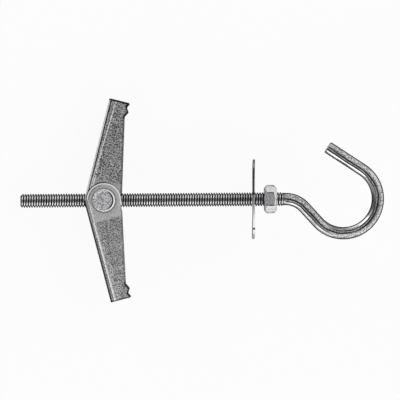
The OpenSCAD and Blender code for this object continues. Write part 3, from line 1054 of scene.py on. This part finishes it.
def sheet_zinc(wing):
    """Mottled sheet: painted shade and highlights along the fold, a smoother ear with a painted highlight on
    its rim, painted shadow rings, dull dark sheared edges.
    """
    name = "sheet_zinc" + wing.removeprefix("wing")
    material, tree, shader, colour = mottled(name, **SHEET[wing], grain_mm=0.30, bump_mm=0.03)
    along = along_axis(tree, WING_WAY[wing])
    across = along_axis(tree, WING_ACROSS[wing])
    fold, skin = depth_masks(tree, wing)
    shade, fold_highlight = painted_fold_light(tree, wing, along, across)
    dragged = dragged_end(tree, wing, along)
    # Painted shadow rings on the ears, with the strip the shears dragged dark
    shadow_and_drag = maths(tree, "MAXIMUM", ear_shadow_rings(tree, wing, along, across), dragged)
    ear = ease(tree, along, EAR_ZONE + EAR_BLUR, EAR_ZONE - EAR_BLUR)
    ear = maths(tree, "MULTIPLY", ear, skin)
    # Painted highlights and glints, kept to the fold and off wing b's ear
    fold_highlight = maths(tree, "MULTIPLY", fold_highlight, fold)
    if wing == "wing_b":
        fold_highlight = mix(tree, ear, fold_highlight, BLACK)
    # Painted highlight on the ear's rim
    ear_highlight = maths(tree, "MULTIPLY", painted(tree, "ear_highlight"), EAR_HIGHLIGHT)
    highlight = maths(tree, "MAXIMUM", fold_highlight, ear_highlight)

    smooth = noise(tree, place_of(tree), scale=2600.0, detail=2.0, rough=0.5)
    ear_tones = [(place, share * EAR_TONE[wing]) for place, share in EAR_GRAIN]
    colour = mix(tree, skin, ramp(tree, smooth, BACK_TONES), colour)
    colour = mix(tree, ear, colour, ramp(tree, smooth, ear_tones))
    colour = times(tree, colour, mix(tree, fold, WHITE, shade))
    colour = mix(tree, highlight, colour, HIGHLIGHT_TONE)
    colour = mix(tree, painted(tree, "cut"), colour, CUT_TONE)
    # Darkens the painted shadow rings and the dragged end
    colour = mix(tree, shadow_and_drag, colour, SHADOW_AND_DRAG_TONE)
    matt = maths(tree, "MULTIPLY", mix(tree, dragged, highlight, BLACK), HIGHLIGHT_MATT)
    matt = maths(tree, "MULTIPLY_ADD", ear, EAR_MATT, matt)
    fill(tree, shader, {"Base Color": colour, "Metallic": ramp(tree, matt, MATT_TO_METAL)})
    return material


# Tone of the washer's sheared rim and how matt it is, by height across the rod in millimetres:
# painted highlights over the lower half with a dark spot, and painted shade over the upper half
RIM_LIGHT_AND_SHADE = [(-11.0, 0.38), (-9.8, 0.45), (-9.0, 0.95), (-8.4, 0.95), (-8.2, 0.03),
             (-7.85, 0.03), (-7.65, 0.95), (-6.0, 0.92), (-3.8, 0.55), (0.0, 0.40),
             (1.5, 0.07), (8.3, 0.07), (9.0, 0.34), (11.0, 0.34)]
RIM_MATT = [(-11.0, 0.5), (-8.4, 0.9), (-5.5, 0.9), (-3.0, 0.6), (1.5, 0.0)]
RIM_HALF = 11.0
# Streaks of the rolled sheet on its faces: how fast they change along and across it, and their tones
ROLLED_GRAIN = (0.18, 2.2, 1.0)
ROLLED_TONES = [(0.36, 0.62), (0.62, 1.0)]


def washer_zinc():
    """Satin washer whose sheared rim has painted highlights below and painted shade above."""
    material, tree, shader, colour = mottled("washer_zinc_satin", dark=0.50, light=0.66, rough=0.30,
                                             grain_mm=0.32, bump_mm=0.02)
    cut = painted(tree, "cut")
    height = along_axis(tree, ASIDE)
    rolled = node(tree, "ShaderNodeCombineXYZ", {0: height, 1: along_axis(tree, UP)}).outputs[0]
    streaks = noise(tree, stretched(tree, rolled, ROLLED_GRAIN), scale=1.0, detail=4.0, rough=0.6)
    colour = times(tree, colour, ramp(tree, streaks, ROLLED_TONES))
    side = ease(tree, height, -RIM_HALF, RIM_HALF)
    # Painted highlights and painted shade on the rim, by height
    rim_light = ramp(tree, side, scaled(RIM_LIGHT_AND_SHADE, 2 * RIM_HALF, -RIM_HALF))
    matt = ramp(tree, side, scaled(RIM_MATT, 2 * RIM_HALF, -RIM_HALF))
    colour = mix(tree, cut, colour, rim_light)
    matt = mix(tree, cut, BLACK, matt)
    fill(tree, shader, {"Base Color": colour, "Metallic": ramp(tree, matt, MATT_TO_METAL)})
    return material


# Across the nut's flats, in millimetres from the middle: painted shade along the corners, a painted highlight
# beyond them, and painted shade towards the outline
CORNER_TONES = [(1.30, 1.0), (1.62, 0.70), (1.76, 0.14), (1.92, 0.12),
                (2.02, 1.0), (3.45, 1.0), (3.62, 0.40), (4.0, 0.40)]
CORNER_SHINE = [(2.00, 0.0), (2.08, 0.9), (2.25, 0.9), (2.40, 0.0)]
CORNER_SPAN = 4.0
# The painted lines arch over the middle of the nut, end before the chamfers and break up in places
CORNER_ARCH = 0.14
CORNER_ENDS = (1.35, 0.95)
CORNER_BREAKS = [(0.38, 0.20), (0.58, 1.0)]
SHINE_METAL = [(0.0, 0.88), (1.0, 0.2)]


def nut_zinc():
    """Tumbled nut: satin grain, painted shade along the corners with a painted highlight beyond them."""
    material, tree, shader, colour = mottled("nut_zinc_satin", dark=0.66, light=1.0, rough=0.26,
                                             grain_mm=0.45, bump_mm=0.05)
    run = maths(tree, "SUBTRACT", along_axis(tree, ALONG), (NUT_LOW.x + NUT_HIGH.x) / 2)
    inside = ease(tree, maths(tree, "ABSOLUTE", run), *CORNER_ENDS)
    arch = maths(tree, "MULTIPLY", run, run)
    height = maths(tree, "ABSOLUTE", along_axis(tree, ASIDE))
    height = maths(tree, "MULTIPLY_ADD", arch, CORNER_ARCH, height)
    height = maths(tree, "DIVIDE", height, CORNER_SPAN)
    shade_patch = noise(tree, place_of(tree), scale=700.0, detail=1.0, rough=0.5)
    # Painted shade along the corners and towards the outline
    tones = ramp(tree, height, scaled(CORNER_TONES, CORNER_SPAN))
    tones = mix(tree, ramp(tree, shade_patch, CORNER_BREAKS), WHITE, tones)
    colour = times(tree, colour, mix(tree, inside, WHITE, tones))
    # Painted highlight beyond the corners
    shine = ramp(tree, height, scaled(CORNER_SHINE, CORNER_SPAN))
    shine = mix(tree, inside, BLACK, shine)
    colour = mix(tree, shine, colour, WHITE)
    fill(tree, shader, {"Base Color": colour, "Metallic": ramp(tree, shine, SHINE_METAL)})
    return material


# Set off the barrel's middle: a painted highlight round the rim of the upset end, and a painted shadow in the
# gap beside it
SET_OFF = 0.20
RIM_HIGHLIGHT = [(2.84, 0.0), (2.90, 1.0), (4.0, 1.0)]
GAP_SHADOW = [(2.46, 0.0), (2.54, 1.0), (2.82, 1.0), (2.88, 0.0)]
GAP_ENDS = (0.6, 1.6)
GAP_SHADOW_TONE = (0.03, 0.03, 0.035)


def pin_zinc():
    """Grainy upset end of the barrel, with a painted highlight round its rim and a painted shadow in a gap
    beside it.
    """
    material, tree, shader, colour = mottled("pin_zinc_grain", dark=0.44, light=1.0, rough=0.50,
                                             grain_mm=0.36, bump_mm=0.05)
    head = painted(tree, "head")
    run = along_axis(tree, ALONG)
    away = from_middle(tree, maths(tree, "ADD", run, SET_OFF), along_axis(tree, ASIDE))
    # Painted highlight round the rim and painted shadow in the gap beside it
    rim_light = ramp(tree, away, scaled(RIM_HIGHLIGHT, RING_SPAN))
    rim_light = mix(tree, head, BLACK, rim_light)
    gap_shadow = ramp(tree, away, scaled(GAP_SHADOW, RING_SPAN))
    gap_shadow = mix(tree, ease(tree, run, *GAP_ENDS), BLACK, gap_shadow)
    gap_shadow = mix(tree, head, BLACK, gap_shadow)
    colour = mix(tree, gap_shadow, colour, GAP_SHADOW_TONE)
    colour = mix(tree, rim_light, colour, WHITE)
    fill(tree, shader, {"Base Color": colour, "Metallic": ramp(tree, rim_light, MATT_TO_METAL)})
    return material


# Pieces

wire_material = wire_zinc()
thread_material = thread_zinc()
spring_material = spring_wire()

finish_piece(threaded_rod(), "hook_bolt", thread_material, "hook_bolt", sharp_deg=60)
finish_piece(hook_wire(), "hook_bolt", wire_material, "hook_bolt", sharp_deg=60)
finish_piece(lock_nut(), "nut", nut_zinc(), "hex_nut", sharp_deg=50)
finish_piece(wide_washer(), "washer", washer_zinc(), "washer", sharp_deg=50)
finish_piece(riveted_barrel(), "barrel", pin_zinc(), "pivot_barrel")
for wing in WING_SIDE:
    finish_piece(stamped_wing(wing), wing, sheet_zinc(wing), wing)
finish_piece(spring_coils(), "barrel", spring_material, "torsion_spring", sharp_deg=60)
finish_piece(bridge_legs(), "wing_a", spring_material, "torsion_spring", sharp_deg=60)
finish_piece(free_legs(), "wing_b", spring_material, "torsion_spring", sharp_deg=60)

# Floor, light and camera

FLOOR_HALF = 3.0
# Share of plain white where the floor is seen
FLOOR_WHITE = 0.92


def floor():
    """Pale matt floor that the loose anchor lies on."""
    bm = bmesh.new()
    bmesh.ops.create_grid(bm, x_segments=8, y_segments=8, size=FLOOR_HALF)
    obj = scene_object("floor", to_mesh("floor", bm))
    material, tree, shader = plain_material("floor_white")
    shader.inputs["Base Color"].default_value = (0.93, 0.93, 0.93, 1)
    shader.inputs["Roughness"].default_value = 0.9
    shader.inputs["Specular IOR Level"].default_value = 0.1
    ray = node(tree, "ShaderNodeLightPath").outputs
    seen = maths(tree, "MAXIMUM", ray["Is Camera Ray"], ray["Is Glossy Ray"])
    seen = maths(tree, "MAXIMUM", seen, ray["Is Transmission Ray"])
    share = maths(tree, "MULTIPLY", seen, FLOOR_WHITE)
    white = node(tree, "ShaderNodeEmission", {"Color": (1, 1, 1, 1), "Strength": 1.0}).outputs[0]
    mixed = node(tree, "ShaderNodeMixShader", {0: share, 1: shader.outputs[0], 2: white}).outputs[0]
    fill(tree, tree.nodes["Material Output"], {"Surface": mixed})
    obj.data.materials.append(material)


# Light from the horizon up, how it grows over the row frame's x and y, and the least of it
SKY_LEVELS = [(0.0, 0.62), (0.30, 0.70), (0.62, 0.68), (0.84, 0.42), (1.0, 0.28)]
SKY_SLOPE = (0.28, -0.20, 0.0)
SKY_LEAST = 0.05


def sky():
    """Studio surround: a dim ceiling, brighter to the right of the picture and towards its foot."""
    world = bpy.data.worlds.new("studio")
    bpy.context.scene.world = world
    world.use_nodes = True
    tree = world.node_tree
    way = node(tree, "ShaderNodeTexCoord").outputs["Generated"]
    rise = node(tree, "ShaderNodeSeparateXYZ", {0: way}).outputs["Z"]
    slope = dot(tree, way, SKY_SLOPE)
    light = maths(tree, "ADD", ramp(tree, rise, SKY_LEVELS), slope)
    light = maths(tree, "MAXIMUM", light, SKY_LEAST)
    fill(tree, tree.nodes["Background"], {"Color": light})


# Each lamp's place and size in metres, and its radiance
LAMPS = {"key": ((-0.55, -1.0, 0.45), (0.7, 0.5), 2.2),
         "front": ((0.45, -1.0, 0.85), (0.9, 0.6), 1.6),
         "fill": ((0.85, 0.65, 0.7), (0.8, 0.8), 1.2),
         "glint": ((-0.80, 0.75, 0.42), (0.7, 0.5), 2.0)}


def lamp(name):
    """A soft panel of one radiance that faces the origin."""
    place, (wide, high), radiance = LAMPS[name]
    data = bpy.data.lights.new(name, "AREA")
    data.shape = "RECTANGLE"
    data.size = wide
    data.size_y = high
    data.energy = radiance * pi * wide * high
    obj = scene_object(name, data)
    obj.location = place
    obj.rotation_mode = "QUATERNION"
    obj.rotation_quaternion = (-Vector(place)).to_track_quat("-Z", "Y")
    obj.visible_camera = False


# The photograph's framing: its scale, the pivot's place in it and the rod's slight climb to the right
PHOTO_SIDE = 400
PHOTO_PX_PER_MM = 3.64
PIVOT_PX = Vector((104.3, 200.35))
ROD_CLIMB = radians(0.41)
CAMERA_AWAY = 1.0
SENSOR = 36.0


def camera():
    """The photograph's camera, which looks along the barrel."""
    data = bpy.data.cameras.new("camera")
    obj = scene_object("camera", data)
    right = ROD * cos(ROD_CLIMB) - ACROSS * sin(ROD_CLIMB)
    up = ROD * sin(ROD_CLIMB) + ACROSS * cos(ROD_CLIMB)
    off = (Vector((PHOTO_SIDE / 2, PHOTO_SIDE / 2)) - PIVOT_PX) * MM / PHOTO_PX_PER_MM
    target = PIVOT + right * off.x - up * off.y
    turn = Matrix((right, up, PIN)).transposed().to_4x4()
    obj.matrix_world = Matrix.Translation(target + PIN * CAMERA_AWAY) @ turn
    data.sensor_width = SENSOR
    data.lens = SENSOR * CAMERA_AWAY / (PHOTO_SIDE * MM / PHOTO_PX_PER_MM)
    data.clip_start = 0.01
    data.clip_end = 20.0
    bpy.context.scene.camera = obj


floor()
sky()
for lamp_name in LAMPS:
    lamp(lamp_name)
camera()
bpy.context.scene.view_settings.view_transform = "Standard"
